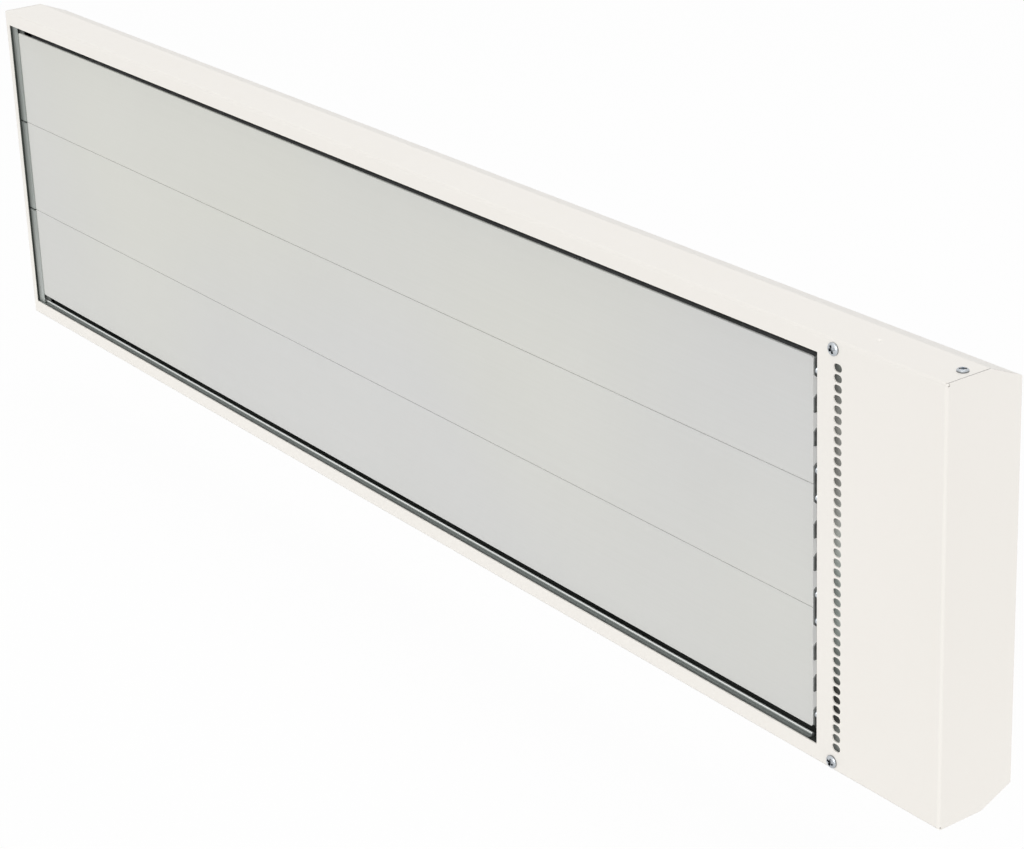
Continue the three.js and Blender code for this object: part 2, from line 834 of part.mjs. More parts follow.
// Pan-head screw standing on z = 0 with its shank below.
function panScrew(headRadius, headHeight, shankRadius, shankLength) {
  const profile = [
    v2(0, -shankLength),
    v2(shankRadius, -shankLength),
    v2(shankRadius, 0),
    v2(headRadius, 0),
    v2(headRadius, headHeight * 0.45),
    v2(headRadius * 0.86, headHeight * 0.8),
    v2(headRadius * 0.5, headHeight),
    v2(0, headHeight),
  ];
  const recess = crossRecess(headHeight, headRadius * 1.25, headHeight * 0.7);
  return turned('z', profile, 20).subtract(recess);
}

function bracketScrew(z) {
  const screw = panScrew(
    bracketHeadRadius,
    bracketHeadHeight,
    bracketScrewRadius,
    bracketScrewLength,
  );
  const seat = lamellaRight + 2 * fit + bracketSheet;
  return screw.rotate([0, 90, 0]).translate([seat, lamellaRecess + portBoreDepth, z]);
}

// Plug that closes the right end of one element channel.
function channelPlug(z, side) {
  const face = lamellaRight + fit;
  const outline = [
    v2(bracketFront + plugChamfer, side * plugHalf),
    v2(bracketBack, side * plugHalf),
    v2(bracketBack, -side * plugHalf),
    v2(bracketFront, -side * plugHalf),
    v2(bracketFront, side * (plugHalf - plugChamfer)),
  ];
  const plate = prism('x', outline, face, face + plugSheet);
  const floor = lamellaRecess + lamellaPlate + fit;
  const half = channelHalf - fit;
  const ends = [lamellaRight - plugTongueLength, face + plugSheet / 2];
  const tongue = box(ends, [floor, floor + plugTongueDepth], [-half, half]);
  return plate.add(tongue).translate([0, 0, z]);
}

// ---------------------------------------------------------------- heating elements

// Hairpin of sheathed heating rod: two legs in the lamella's channels, dipping out at the right.
function heatingElement(centre) {
  const bendX = lamellaLeft + elementBendFromLeft;
  const dipX = lamellaRight - elementDipFromRight;
  const half = elementLegHalf;
  const corners = [
    v3(sheathEnd, elementExitY, -half),
    v3(dipX + elementDipLength, elementExitY, -half),
    v3(dipX, elementY, -half),
    v3(bendX, elementY, -half),
    v3(bendX, elementY, half),
    v3(dipX, elementY, half),
    v3(dipX + elementDipLength, elementExitY, half),
    v3(sheathEnd, elementExitY, half),
  ];
  const bend = half - 0.1;
  const radii = [elementLegBend, elementLegBend, bend, bend, elementLegBend, elementLegBend];
  let body = tube(roundCorners(corners, radii, 4), elementRadius, 12);
  for (const side of [half, -half]) {
    const place = [elementExitY, side];
    body = body.add(rod('x', place, elementPinRadius, sheathEnd - 4, pinEnd, 10));
  }
  return body.translate([0, 0, centre]);
}

// Ceramic insulator round both legs, its flange against the partition.
function elementInsulator(centre) {
  const legBore = elementRadius + fit;
  const inner = trayRight - traySheet;
  let body = insulatorOpening(centre, 0, inner, partitionRight + fit);
  body = body.add(
    insulatorOpening(centre, insulatorFlange, partitionRight + fit, insulatorFlangeEnd),
  );
  for (const side of [1, -1]) {
    const place = [elementExitY, centre + side * elementLegHalf];
    body = body.subtract(rod('x', place, legBore, inner - 1, insulatorFlangeEnd + 1, 16));
  }
  return body;
}

// ---------------------------------------------------------------- terminal space

// Wall between the hot side and the terminal space, with the guard behind the vents.
function partitionPlate() {
  const inset = casingSheet + fit + panSheet + fit;
  const half = halfHeight - inset;
  const section = bothSides([
    v2(insideFront, half),
    v2(slopeY(half, inset), half),
    v2(panFloor - fit, slopeZ(panFloor - fit, inset)),
  ]);
  let body = prism('x', section, partitionLeft, partitionRight);
  const guardHalf = ((ventCount - 1) * ventPitch + ventWidth) / 2 + guardPastVents;
  const guard = [partitionLeft, partitionLeft + guardReach];
  const guardY = [guardFromFront, guardFromFront + partitionSheet];
  body = body.add(box(guard, guardY, [-guardHalf, guardHalf]));
  for (const sign of [1, -1]) {
    const levels = [sign * (half - tabHeight), sign * half].sort((a, b) => a - b);
    const tab = [partitionLeft, partitionLeft + tabReach];
    body = body.add(box(tab, [insideFront, insideFront + partitionSheet], levels));
    const hole = [insideFront - 1, insideFront + partitionSheet + 1];
    body = body.subtract(rod('y', [sign * frontScrewZ, frontScrewX], screwHole, ...hole, 16));
  }
  for (const centre of lamellaCentres) {
    const faces = [partitionLeft - 1, partitionRight + 1];
    body = body.subtract(insulatorOpening(centre, fit, ...faces));
  }
  return body;
}

// Screw through the front face into the partition's tab.
function frontScrew(sign) {
  const screw = panScrew(frontHeadRadius, frontHeadHeight, casingScrewRadius, casingScrewLength);
  return screw
    .rotate([0, 0, sign * frontScrewTurn])
    .rotate([90, 0, 0])
    .translate([frontScrewX, -fit, sign * frontScrewZ]);
}

// Screw through a long side into the flange of the back pan.
function sideScrew(sign) {
  const screw = panScrew(sideHeadRadius, sideHeadHeight, casingScrewRadius, casingScrewLength)
    .rotate([0, 0, sideScrewTurn])
    .translate([sideScrewX, sideScrewFromFront, halfHeight + fit]);
  return sign > 0 ? screw : screw.mirror([0, 0, 1]);
}

// Bridge of bent sheet that carries the terminal block off the back pan.
function terminalBridge() {
  const half = blockLength / 2 + bridgePastBlock;
  const foot = panFloor - fit;
  const run = [
    v2(blockX - half - bridgeFoot, foot - bridgeSheet),
    v2(blockX - half, foot - bridgeSheet),
    v2(blockX - half, bridgeTop),
    v2(blockX + half, bridgeTop),
    v2(blockX + half, foot - bridgeSheet),
    v2(blockX + half + bridgeFoot, foot - bridgeSheet),
  ].reverse();
  const outline = sheetOutline(run, bridgeSheet);
  return prism('z', outline, blockZ - blockHalf, blockZ + blockHalf);
}

const poleZ = (i) => blockZ + ((poleCount - 1) / 2 - i) * polePitch;

// Ceramic terminal block with a barrier between poles and a wire entry on each side of a pole.
function terminalBlock() {
  const across = [blockX - blockLength / 2, blockX + blockLength / 2];
  const along = [blockZ - blockHalf + blockEdge, blockZ + blockHalf - blockEdge];
  let body = box(across, [blockFront, blockBack], along);
  for (let i = 0; i < poleCount; i += 1) {
    const z = poleZ(i);
    const place = [wireEntryY, z];
    const left = [across[0] - 1, across[0] + wireEntryDepth];
    const right = [across[1] - wireEntryDepth, across[1] + 1];
    body = body.subtract(rod('x', place, wireEntryRadius, ...left, 10));
    body = body.subtract(rod('x', place, wireEntryRadius, ...right, 10));
    for (const side of [1, -1]) {
      const screwX = blockX + (side * blockLength) / 4;
      const top = [blockFront - 1, blockFront + blockScrewDepth];
      body = body.subtract(rod('y', [z, screwX], blockScrewRadius, ...top, 12));
    }
    if (i > 0) {
      const middle = z + polePitch / 2;
      const rib = [blockFront - blockRibRise, blockFront + 1];
      body = body.add(box(across, rib, [middle - blockRibHalf, middle + blockRibHalf]));
    }
  }
  return body;
}

function hexagon(radius) {
  const points = [];
  for (let i = 0; i < 6; i += 1) {
    const angle = (Math.PI * i) / 3;
    points.push(v2(radius * Math.cos(angle), radius * Math.sin(angle)));
  }
  return points;
}

const around = (outline, centre) => outline.map((p) => v2(p.x + centre[0], p.y + centre[1]));

function earthStud() {
  const foot = panFloor - fit;
  const base = rod('y', [studZ, studX], studBaseRadius, foot - studBaseSheet, foot, 16);
  return base.add(rod('y', [studZ, studX], studRadius, foot - studLength, foot, 12));
}

const lugBack = panFloor - fit - studBaseSheet - fit;
const lugFront = lugBack - lugSheet;

function earthNut() {
  const back = lugFront - fit;
  const outline = around(hexagon(studNutRadius), [studZ, studX]);
  const nut = prism('y', outline, back - studNutHeight, back);
  return nut.subtract(rod('y', [studZ, studX], studRadius + fit, back - 9, back + 1, 12));
}

// Cable gland: thread through the pan, hexagon and domed cap outside, open bore for the cable.
function cableGland() {
  const place = [glandZ, glandX];
  const hexFront = casingDepth + fit;
  const hexBack = hexFront + glandHexDepth;
  const inside = panFloor - glandThreadInside;
  const profile = [
    v2(0, hexBack - 1),
    v2(glandDomeRadius, hexBack - 1),
    v2(glandDomeRadius, hexBack + glandDomeDepth * 0.6),
    v2(glandDomeRadius * 0.92, hexBack + glandDomeDepth * 0.85),
    v2(glandDomeRadius * 0.72, hexBack + glandDomeDepth),
    v2(0, hexBack + glandDomeDepth),
  ];
  const dome = turned('y', profile, 24).translate(crossOffset('y', place));
  let body = rod('y', place, glandRadius, inside, hexBack, 24);
  body = body.add(prism('y', around(hexagon(glandHexRadius), place), hexFront, hexBack));
  body = body.add(dome);
  return body.subtract(rod('y', place, glandBoreRadius, inside - 1, hangerBack, 20));
}

function glandLocknut() {
  const place = [glandZ, glandX];
  const back = panFloor - fit;
  const nut = prism('y', around(hexagon(glandHexRadius), place), back - glandNutDepth, back);
  return nut.subtract(rod('y', place, glandRadius + fit, back - 2 * glandNutDepth, back + 1, 24));
}

function wire(points) {
  return tube(roundCorners(points, wireBend, 3), wireRadius, 8);
}

// Crimped sleeve that joins a wire to an element's pin.
function crimp(z) {
  const place = [elementExitY, z];
  const sleeve = rod('x', place, crimpRadius, pinEnd - crimpOverPin, pinEnd + crimpOverWire, 12);
  const bore = elementPinRadius + fit;
  return sleeve.subtract(rod('x', place, bore, sheathEnd, wireStart, 10));
}

const wireStart = pinEnd + fit;
const wireEnd = blockX - blockLength / 2 + wireInEntry;
const laneX = wireStart + laneFromPins;
const busX = wireStart + busFromPins;
const pinBelow = (i) => lamellaCentres[i] - elementLegHalf;
const pinAbove = (i) => lamellaCentres[i] + elementLegHalf;

// Line wire of the top lamella: down the lane to the first pole.
function lineWireTop() {
  const run = wire([
    v3(wireStart, elementExitY, pinBelow(0)),
    v3(laneX, elementExitY, pinBelow(0)),
    v3(laneX, wireEntryY - 4, pinBelow(0) - 30),
    v3(laneX, wireEntryY, poleZ(0)),
    v3(wireEnd, wireEntryY, poleZ(0)),
  ]);
  return run.add(crimp(pinBelow(0)));
}

function lineWireMiddle() {
  const run = wire([
    v3(wireStart, elementExitY, pinBelow(1)),
    v3(laneX, elementExitY, pinBelow(1)),
    v3(laneX, wireEntryY, poleZ(1)),
    v3(wireEnd, wireEntryY, poleZ(1)),
  ]);
  return run.add(crimp(pinBelow(1)));
}

function lineWireBottom() {
  const run = wire([
    v3(wireStart, elementExitY, pinBelow(2)),
    v3(laneX, elementExitY, pinBelow(2)),
    v3(laneX, wireEntryY - 14, pinBelow(2) + 22),
    v3(laneX + 2, wireEntryY - 14, poleZ(2) - 8),
    v3(laneX, wireEntryY, poleZ(2)),
    v3(wireEnd, wireEntryY, poleZ(2)),
  ]);
  return run.add(crimp(pinBelow(2)));
}

// Neutral wire: a bus that joins the upper pins of the three elements, and its lead to a pole.
function neutralWire() {
  const busY = elementExitY + busBehindPins;
  const rise = 14;
  let body = wire([
    v3(wireStart, elementExitY, pinAbove(0)),
    v3(busX, elementExitY, pinAbove(0)),
    v3(busX, busY, pinAbove(0) - rise),
    v3(busX, busY, pinAbove(2) + rise),
    v3(busX, elementExitY, pinAbove(2)),
    v3(wireStart, elementExitY, pinAbove(2)),
  ]);
  const lead = [
    v3(busX, busY, poleZ(3) + 2 * rise),
    v3(laneX - 4, wireEntryY, poleZ(3)),
    v3(wireEnd, wireEntryY, poleZ(3)),
  ];
  const branch = [
    v3(wireStart, elementExitY, pinAbove(1)),
    v3(wireStart + 4, elementExitY, pinAbove(1)),
    v3(busX, busY, pinAbove(1) + 3),
  ];
  body = body.add(wire(lead)).add(tube(branch, wireRadius, 8));
  for (const i of [0, 1, 2]) body = body.add(crimp(pinAbove(i)));
  return body;
}

// Earth wire: from its pole to a ring lug under the nut of the earth stud.
function earthWire() {
  const lugMiddle = (lugFront + lugBack) / 2;
  const run = [
    v3(studX, lugMiddle, studZ + studBaseRadius - 1.2),
    v3(studX, lugMiddle - 1, studZ + 20),
    v3(laneX + 3, wireEntryY, poleZ(4)),
    v3(wireEnd, wireEntryY, poleZ(4)),
  ];
  const place = [studZ, studX];
  const ring = rod('y', place, studBaseRadius, lugFront, lugBack, 16);
  const hole = rod('y', place, studRadius + fit, lugFront - 5, lugBack + 5, 12);
  const lead = tube(roundCorners(run, [4, wireBend], 3), wireRadius, 8);
  const clear = box(
    [studX - 9, studX + 9],
    [lugBack, lugBack + 9],
    [studZ - 9, studZ + 9],
  );
  return ring.add(lead).subtract(hole).subtract(clear);
}

// ---------------------------------------------------------------- hanger brackets

// Hat-section bracket across the back; its slotted web takes the ceiling or wall fixings.
function hangerBracket(x) {
  const footFace = casingDepth + fit + hangerSheet;
  const outer = hangerWebHalf + hangerFoot;
  const run = [
    v2(x - outer, footFace),
    v2(x - hangerWebHalf, footFace),
    v2(x - hangerWebHalf, hangerBack),
    v2(x + hangerWebHalf, hangerBack),
    v2(x + hangerWebHalf, footFace),
    v2(x + outer, footFace),
  ];
  const outline = sheetOutline(run, hangerSheet);
  let body = prism('z', outline, -hangerHalfLength, hangerHalfLength);
  for (const sign of [1, -1]) {
    const centre = v2((sign * hangerSlotSpacing) / 2, x);
    const slot = slotOutline(centre, hangerSlotHalfLength, hangerSlotHalfWidth);
    body = body.subtract(prism('y', slot, hangerBack - 2 * hangerSheet, hangerBack + 1));
  }
  for (const bolt of hangerBoltPlaces(x)) {
    const hole = hangerBoltRadius + fit;
    const foot = [casingDepth - 1, footFace + 1];
    body = body.subtract(rod('y', [bolt.z, bolt.x], hole, ...foot, 12));
  }
  return body;
}

// Hexagon bolt through a foot of the bracket into the back pan.
function hangerBolt(bolt) {
  const place = [bolt.z, bolt.x];
  const seat = casingDepth + 2 * fit + hangerSheet;
  const top = seat + hangerBoltHeadHeight;
  const head = prism('y', around(hexagon(hangerBoltHead), place), seat, top);
  return head.add(rod('y', place, hangerBoltRadius, seat - hangerBoltLength, seat + 1, 12));
}

// ---------------------------------------------------------------- assembly

const powderWhite = { color: 0xefece6, roughness: 0.45, metalness: 0 };
const lamellaGrey = { color: 0xd5d6d3, roughness: 0.6, metalness: 0.1 };
const zinc = { color: 0xb9bfc6, roughness: 0.35, metalness: 1 };
const galvanised = { color: 0xa9adad, roughness: 0.5, metalness: 0.9 };
const aluminised = { color: 0xb4b7b6, roughness: 0.3, metalness: 1 };
const darkSteel = { color: 0x565956, roughness: 0.45, metalness: 0.9 };
const sheath = { color: 0x6d6a63, roughness: 0.5, metalness: 0.9 };
const foil = { color: 0xc9cbcc, roughness: 0.2, metalness: 1 };
const wool = { color: 0xc8b878, roughness: 1, metalness: 0 };
const ceramic = { color: 0xe8e4da, roughness: 0.4, metalness: 0 };
const polyamide = { color: 0x2b2b2d, roughness: 0.6, metalness: 0 };
const brass = { color: 0xb8964c, roughness: 0.35, metalness: 1 };
const wireBlack = { color: 0x1f1f21, roughness: 0.6, metalness: 0 };
const wireBlue = { color: 0x2f5fa8, roughness: 0.6, metalness: 0 };
const wireGreen = { color: 0x6f9a34, roughness: 0.6, metalness: 0 };

const panel = new THREE.Group();
const pieces = new THREE.Group();
pieces.position.y = -stackOffsetY;
panel.add(pieces);

function place(name, body, finish) {
  const mesh = new THREE.Mesh(geometryOf(body), new THREE.MeshStandardMaterial(finish));
  mesh.name = name;
  pieces.add(mesh);
}

place('front_casing', frontCasing(), powderWhite);
place('back_pan', backPan(), galvanised);
place('reflector_tray', reflectorTray(), aluminised);
place('insulation_slab', insulationSlab(), wool);
place('foil_reflector', foilReflector(), foil);
place('window_rail_top', windowRail(1), aluminised);
place('window_rail_bottom', windowRail(-1), aluminised);
place('partition_plate', partitionPlate(), galvanised);

const rowNames = ['top', 'middle', 'bottom'];
lamellaCentres.forEach((centre, i) => {
  const row = rowNames[i];
  place('lamella_' + row, lamella(centre), lamellaGrey);
  place('heating_element_' + row, heatingElement(centre), sheath);
  place('element_insulator_' + row, elementInsulator(centre), ceramic);
  place('left_clip_' + row, leftClip(centre), galvanised);
  place('channel_plug_' + row + '_upper', channelPlug(centre + elementLegHalf, 1), darkSteel);
  place('channel_plug_' + row + '_lower', channelPlug(centre - elementLegHalf, 1), darkSteel);
});

const carrierNames = ['left', 'middle', 'right'];
carrierPlaces.forEach((x, i) => {
  place('lamella_carrier_' + carrierNames[i], lamellaCarrier(x), galvanised);
});

const screwRows = lamellaCentres.flatMap((centre) => [centre + portZ, centre - portZ]);
const seamRows = [lamellaPitch / 2, -lamellaPitch / 2];
const topEdge = stackHalf - lamellaSeam / 2;
place('end_bracket_top', endBracket(topEdge - bracketReach, topEdge, [screwRows[0]]), darkSteel);
seamRows.forEach((seam, i) => {
  const rows = screwRows.slice(1 + 2 * i, 3 + 2 * i);
  const bracket = endBracket(seam - bracketReach, seam + bracketReach, rows);
  place('seam_bracket_' + ['upper', 'lower'][i], bracket, darkSteel);
});
place('end_bracket_bottom', endBracket(-topEdge, bracketReach - topEdge, [screwRows[5]]), darkSteel);
screwRows.forEach((z, i) => place('bracket_screw_' + (i + 1), bracketScrew(z), zinc));

place('front_screw_top', frontScrew(1), zinc);
place('front_screw_bottom', frontScrew(-1), zinc);
place('side_screw_top', sideScrew(1), zinc);
place('side_screw_bottom', sideScrew(-1), zinc);

place('terminal_bridge', terminalBridge(), galvanised);
place('terminal_block', terminalBlock(), ceramic);
place('earth_stud', earthStud(), brass);
place('earth_nut', earthNut(), brass);
place('cable_gland', cableGland(), polyamide);
place('gland_locknut', glandLocknut(), polyamide);
place('line_wire_top', lineWireTop(), wireBlack);
place('line_wire_middle', lineWireMiddle(), wireBlack);
place('line_wire_bottom', lineWireBottom(), wireBlack);
place('neutral_wire', neutralWire(), wireBlue);
place('earth_wire', earthWire(), wireGreen);

hangerPlaces.forEach((x, i) => {
  const side = ['left', 'right'][i];
  place('hanger_bracket_' + side, hangerBracket(x), galvanised);
  hangerBoltPlaces(x).forEach((bolt, j) => {
    place('hanger_bolt_' + side + '_' + ['lower', 'upper'][j], hangerBolt(bolt), zinc);
  });
});

export default panel;
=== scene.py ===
import math

import bmesh
import bpy
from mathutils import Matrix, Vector


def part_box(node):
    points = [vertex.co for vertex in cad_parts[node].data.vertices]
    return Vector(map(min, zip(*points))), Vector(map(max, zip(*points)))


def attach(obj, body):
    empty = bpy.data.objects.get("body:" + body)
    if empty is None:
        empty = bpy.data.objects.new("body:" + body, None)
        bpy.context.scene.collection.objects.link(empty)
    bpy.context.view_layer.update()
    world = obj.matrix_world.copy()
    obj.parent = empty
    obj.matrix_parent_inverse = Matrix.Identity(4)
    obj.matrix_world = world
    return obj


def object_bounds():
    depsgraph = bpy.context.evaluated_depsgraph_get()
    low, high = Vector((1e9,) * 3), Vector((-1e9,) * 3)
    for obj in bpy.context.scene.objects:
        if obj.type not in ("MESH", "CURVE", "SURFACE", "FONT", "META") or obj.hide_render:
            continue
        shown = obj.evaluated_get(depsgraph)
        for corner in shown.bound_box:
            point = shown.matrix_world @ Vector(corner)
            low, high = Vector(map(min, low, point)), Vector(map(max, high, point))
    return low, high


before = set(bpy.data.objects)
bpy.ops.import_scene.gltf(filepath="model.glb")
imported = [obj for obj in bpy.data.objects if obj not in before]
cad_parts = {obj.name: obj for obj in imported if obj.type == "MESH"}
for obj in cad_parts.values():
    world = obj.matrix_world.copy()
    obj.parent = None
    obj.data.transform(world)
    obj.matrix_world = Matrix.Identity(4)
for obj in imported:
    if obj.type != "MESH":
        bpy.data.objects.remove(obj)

cad_low, cad_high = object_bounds()


# ---------------------------------------------------------------- camera
# The photograph is taken from the terminal end, above and in front of the panel, with a long
# lens. Its upright edges are nearly parallel, so the lens is shifted down a little.
lens_length, lens_shift = 94.56, -0.15
camera_place = (2.0394, -1.3494, 0.9286)
camera_turn = (70.266, 2.106, 53.675)
scene = bpy.context.scene
camera_data = bpy.data.cameras.new("camera")
camera_data.lens = lens_length
camera_data.shift_y = lens_shift
camera = bpy.data.objects.new("camera", camera_data)
camera.location = camera_place
camera.rotation_euler = [math.radians(angle) for angle in camera_turn]
scene.collection.objects.link(camera)
scene.camera = camera
scene.view_settings.view_transform = "Standard"


# ---------------------------------------------------------------- studio floor
# A pale, matt sheet under the panel. Seen straight or in a reflection it is white, and it
# keeps a little of the panel's soft shadow.
def shader_tree(name):
    material = bpy.data.materials.new(name)
    material.use_nodes = True
    tree = material.node_tree
    tree.nodes.clear()
    return material, tree


def calculated(tree, operation, first, second=0.0):
    """A sum or another operation on two outputs, or on an output and a number."""
    node = tree.nodes.new("ShaderNodeMath")
    node.operation = operation
    tree.links.new(first, node.inputs[0])
    if isinstance(second, float):
        node.inputs[1].default_value = second
    else:
        tree.links.new(second, node.inputs[1])
    return node.outputs[0]


def straight_ray(tree):
    """1 where a ray comes from the camera, a mirror or a clear body, else 0."""
    light_path = tree.nodes.new("ShaderNodeLightPath")
    seen = light_path.outputs["Is Camera Ray"]
    for name in ("Is Glossy Ray", "Is Transmission Ray"):
        seen = calculated(tree, "MAXIMUM", seen, light_path.outputs[name])
    return seen


floor_tone, white_share = 0.9, 0.95
floor_below, floor_reach = 0.12, 40
floor_material, tree = shader_tree("studio_floor")
matt = tree.nodes.new("ShaderNodeBsdfDiffuse")
matt.inputs["Color"].default_value = (floor_tone, floor_tone, floor_tone, 1)
white = tree.nodes.new("ShaderNodeEmission")
white.inputs["Strength"].default_value = 1
mix = tree.nodes.new("ShaderNodeMixShader")
tree.links.new(calculated(tree, "MULTIPLY", straight_ray(tree), white_share), mix.inputs["Fac"])
tree.links.new(matt.outputs[0], mix.inputs[1])
tree.links.new(white.outputs[0], mix.inputs[2])
output = tree.nodes.new("ShaderNodeOutputMaterial")
tree.links.new(mix.outputs[0], output.inputs["Surface"])

floor_z = cad_low.z - floor_below
floor_mesh = bpy.data.meshes.new("studio_floor")
signs = ((-1, -1), (1, -1), (1, 1), (-1, 1))
corners = [(x * floor_reach, y * floor_reach, floor_z) for x, y in signs]
floor_mesh.from_pydata(corners, [], [(0, 1, 2, 3)])
floor_mesh.materials.append(floor_material)
floor = bpy.data.objects.new("studio_floor", floor_mesh)
scene.collection.objects.link(floor)


# ---------------------------------------------------------------- studio light
# Soft light from every side, a broad lamp high above, and a soft lamp at the terminal end that
# lights the front. The surroundings are white where they are seen.
surroundings = 0.5
world = bpy.data.worlds.new("studio")
scene.world = world
world.use_nodes = True
tree = world.node_tree
tree.nodes.clear()
soft = tree.nodes.new("ShaderNodeBackground")
soft.inputs["Strength"].default_value = surroundings
clear = tree.nodes.new("ShaderNodeBackground")
clear.inputs["Color"].default_value = (1, 1, 1, 1)
clear.inputs["Strength"].default_value = 1
mix = tree.nodes.new("ShaderNodeMixShader")
output = tree.nodes.new("ShaderNodeOutputWorld")
tree.links.new(straight_ray(tree), mix.inputs["Fac"])
tree.links.new(soft.outputs[0], mix.inputs[1])
tree.links.new(clear.outputs[0], mix.inputs[2])
tree.links.new(mix.outputs[0], output.inputs["Surface"])

front_lamp = bpy.data.lights.new("front_lamp", "SUN")
front_lamp.angle = 0.2
front_lamp.energy = 1.93
top_lamp = bpy.data.lights.new("top_lamp", "AREA")
top_lamp.shape = "DISK"
top_lamp.size = 3.5
top_lamp.energy = 55
front_place, top_place = (2.0, -2.0, 1.35), (0.1, 0.3, 4.0)
for lamp, position in ((front_lamp, front_place), (top_lamp, top_place)):
    lamp_object = bpy.data.objects.new(lamp.name, lamp)
    lamp_object.location = position
    lamp_object.rotation_euler = (-Vector(position)).to_track_quat("-Z", "Y").to_euler()
    scene.collection.objects.link(lamp_object)


# ---------------------------------------------------------------- front casing
# White casing folded from one steel sheet, with the window, the vent slots and the screw holes
# punched before folding. Its powder coat shows a slight orange peel. Painted shade tones down
# the highlight on the folds round the front, and darkens the open seams and other hollows.
def finish(name):
    """A material with its node tree, its Principled shader and the place on the piece."""
    material, tree = shader_tree(name)
    shader = tree.nodes.new("ShaderNodeBsdfPrincipled")
    output = tree.nodes.new("ShaderNodeOutputMaterial")
    tree.links.new(shader.outputs[0], output.inputs["Surface"])
    coordinates = tree.nodes.new("ShaderNodeTexCoord")
    return material, tree, shader, coordinates.outputs["Object"]


def noise(tree, place, scale, detail=3, roughness=0.5, stretch=(1, 1, 1)):
    """A noise pattern at a scale per metre, its coordinates stretched along the axes."""
    mapping = tree.nodes.new("ShaderNodeMapping")
    mapping.inputs["Scale"].default_value = stretch
    tree.links.new(place, mapping.inputs["Vector"])
    pattern = tree.nodes.new("ShaderNodeTexNoise")
    pattern.inputs["Scale"].default_value = scale
    pattern.inputs["Detail"].default_value = detail
    pattern.inputs["Roughness"].default_value = roughness
    tree.links.new(mapping.outputs[0], pattern.inputs["Vector"])
    return pattern.outputs["Fac"]


def between(tree, factor, low, high, from_low=0.3, from_high=0.7):
    """A number that follows a factor from a low to a high value."""
    spread = tree.nodes.new("ShaderNodeMapRange")
    spread.inputs["From Min"].default_value = from_low
    spread.inputs["From Max"].default_value = from_high
    spread.inputs["To Min"].default_value = low
    spread.inputs["To Max"].default_value = high
    tree.links.new(factor, spread.inputs["Value"])
    return spread.outputs["Result"]


def shade(tree, factor, dark, light):
    """A colour that follows a pattern from a dark to a light tone."""
    ramp = tree.nodes.new("ShaderNodeValToRGB")
    ramp.color_ramp.elements[0].color = (*dark, 1)
    ramp.color_ramp.elements[1].color = (*light, 1)
    ramp.color_ramp.elements[0].position = 0.3
    ramp.color_ramp.elements[1].position = 0.7
    tree.links.new(factor, ramp.inputs["Fac"])
    return ramp.outputs["Color"]


def blend(tree, factor, first, second):
    """A colour from a first to a second, each a plain tone or a pattern's output."""
    mix = tree.nodes.new("ShaderNodeMix")
    mix.data_type = "RGBA"
    tree.links.new(factor, mix.inputs["Factor"])
    first_socket, second_socket, mixed = mix.inputs[6], mix.inputs[7], mix.outputs[2]
    for socket, colour in ((first_socket, first), (second_socket, second)):
        if isinstance(colour, tuple):
            socket.default_value = (*colour, 1)
        else:
            tree.links.new(colour, socket)
    return mixed


def along(tree, place, axis):
    """The place along an axis, in metres."""
    split = tree.nodes.new("ShaderNodeSeparateXYZ")
    tree.links.new(place, split.inputs[0])
    return split.outputs[axis]


def hollows(tree, reach, low, high):
    """0 in a slot or a recess and 1 on an open surface, over a reach in metres."""
    depth = tree.nodes.new("ShaderNodeAmbientOcclusion")
    depth.inputs["Distance"].default_value = reach
    return between(tree, depth.outputs["AO"], 0, 1, low, high)


def paint(tree, shader, colour):
    """Gives a surface its colour."""
    tree.links.new(colour, shader.inputs["Base Color"])


def roughen(tree, shader, pattern, smooth, rough):
    """A roughness that follows a pattern from a smooth to a rough value."""
    tree.links.new(between(tree, pattern, smooth, rough), shader.inputs["Roughness"])


def bump(tree, shader, height, distance):
    """Raises a surface by a pattern, by a distance in metres."""
    relief = tree.nodes.new("ShaderNodeBump")
    relief.inputs["Distance"].default_value = distance
    tree.links.new(height, relief.inputs["Height"])
    tree.links.new(relief.outputs["Normal"], shader.inputs["Normal"])


def dress(material, *names):
    """Gives CAD nodes a material."""
    for name in names:
        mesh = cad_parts[name].data
        mesh.materials.clear()
        mesh.materials.append(material)


powder_coat, tree, shader, place = finish("powder_coat")
seam_reach, seam_shadow = 0.0016, (0.1, 0.098, 0.092)
# Painted shade: the folds round the front are toned darker to soften their highlight.
fold_radius, fold_shade = 0.0024, (0.794, 0.767, 0.724)
casing_low, casing_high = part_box("front_casing")
cloud = noise(tree, place, scale=3, detail=2)
coat = shade(tree, cloud, dark=(0.865, 0.835, 0.785), light=(0.88, 0.85, 0.805))
# Halfway round a fold both shares are 0.7 and their product is 0.5, so the product is doubled.
near_front = between(tree, along(tree, place, "Y"), 1, 0, casing_low.y, casing_low.y + fold_radius)
near_edge = []
for axis, edge in (("X", casing_high.x), ("Z", casing_high.z)):
    from_middle = calculated(tree, "ABSOLUTE", along(tree, place, axis))
    near_edge.append(between(tree, from_middle, 0, 1, edge - fold_radius, edge))
on_fold = calculated(tree, "MULTIPLY", near_front, calculated(tree, "MAXIMUM", *near_edge))
on_fold = calculated(tree, "MULTIPLY", on_fold, 2.0)
coat = blend(tree, on_fold, coat, fold_shade)
# Painted shade: darker in the open seams, the corner reliefs and round the screw heads.
coat = blend(tree, hollows(tree, seam_reach, low=0.3, high=0.62), seam_shadow, coat)
paint(tree, shader, coat)
sheen = noise(tree, place, scale=60, detail=4)
roughen(tree, shader, sheen, smooth=0.36, rough=0.46)
peel = noise(tree, place, scale=900, detail=2)
bump(tree, shader, peel, distance=0.00004)
dress(powder_coat, "front_casing")


